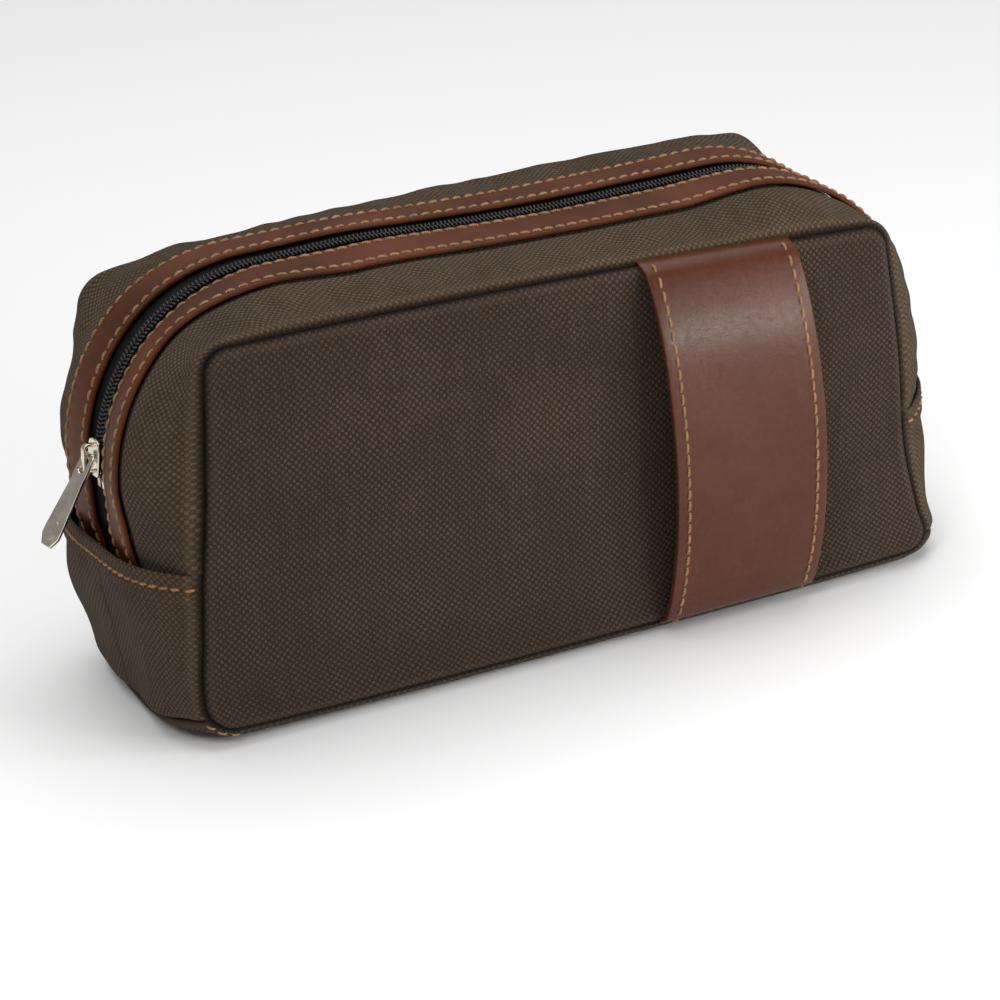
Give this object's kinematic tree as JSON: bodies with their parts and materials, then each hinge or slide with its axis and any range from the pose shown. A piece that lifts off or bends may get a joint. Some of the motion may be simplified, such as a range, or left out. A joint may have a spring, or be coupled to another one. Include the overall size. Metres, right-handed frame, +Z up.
{
  "type": "zipped wash bag",
  "caption": "Zipped canvas wash bag with rounded ends, leather zip facings and a bowed leather hand band on the front.",
  "frame": {"origin": "middle of the base's underside, on the surface the bag stands on", "axes": "+X along the length, towards the zip's closed end; -Y is the front with the leather band; +Z up"},
  "size_m": [0.3196, 0.1248, 0.1441],
  "materials": {
    "canvas": "coarse washed cotton canvas",
    "lining": "plain lining cloth",
    "leather": "smooth waxed cowhide",
    "thread": "waxed thread",
    "zip_tape": "woven tape",
    "zip_coil": "satin monofilament",
    "metal": "polished nickel plate",
    "board": "pressed board"
  },
  "bodies": {
    "base": {"base_panel": "canvas", "base_board": "board", "base_lining": "lining", "end_panel_left": "canvas", "end_panel_right": "canvas", "end_lining_left": "lining", "end_lining_right": "lining", "hem_stitching_left": "thread", "hem_stitching_right": "thread"},
    "front_half": {"front_panel": "canvas", "front_lining": "lining", "front_seam_binding": "zip_tape", "front_zip_gusset": "canvas", "front_gusset_lining": "lining", "front_zip_facing": "leather", "front_facing_stitching_outer": "thread", "front_facing_stitching_inner": "thread", "front_zip_tape": "zip_tape", "front_zip_coil": "zip_coil", "front_top_stop": "metal", "zip_bottom_stop": "metal", "leather_band": "leather", "band_backing": "leather", "band_stitching_left": "thread", "band_stitching_right": "thread"},
    "back_half": {"back_panel": "canvas", "back_lining": "lining", "back_seam_binding": "zip_tape", "back_zip_gusset": "canvas", "back_gusset_lining": "lining", "back_zip_facing": "leather", "back_facing_stitching_outer": "thread", "back_facing_stitching_inner": "thread", "back_zip_tape": "zip_tape", "back_zip_coil": "zip_coil", "back_top_stop": "metal"},
    "zip_slider": {"slider_body": "metal", "slider_bridge": "metal"},
    "zip_pull": {"pull_tab": "metal"}
  },
  "joints": [
    {"name": "front_opening", "type": "hinge", "parent": "base", "child": "front_half", "pos_m": [0, -0.0539, 0.0026], "axis": [1, 0, 0], "range_deg": [0, 15]},
    {"name": "back_opening", "type": "hinge", "parent": "base", "child": "back_half", "pos_m": [0, 0.0539, 0.0026], "axis": [-1, 0, 0], "range_deg": [0, 15]},
    {"name": "slider_travel", "type": "hinge", "parent": "front_half", "child": "zip_slider", "pos_m": [-0.086, 0, 0.082], "axis": [0, 1, 0], "range_deg": [0, 84]},
    {"name": "pull_swing", "type": "hinge", "parent": "zip_slider", "child": "zip_pull", "pos_m": [-0.14977, 0, 0.0887], "axis": [0, 1, 0], "range_deg": [-20, 130]}
  ]
}
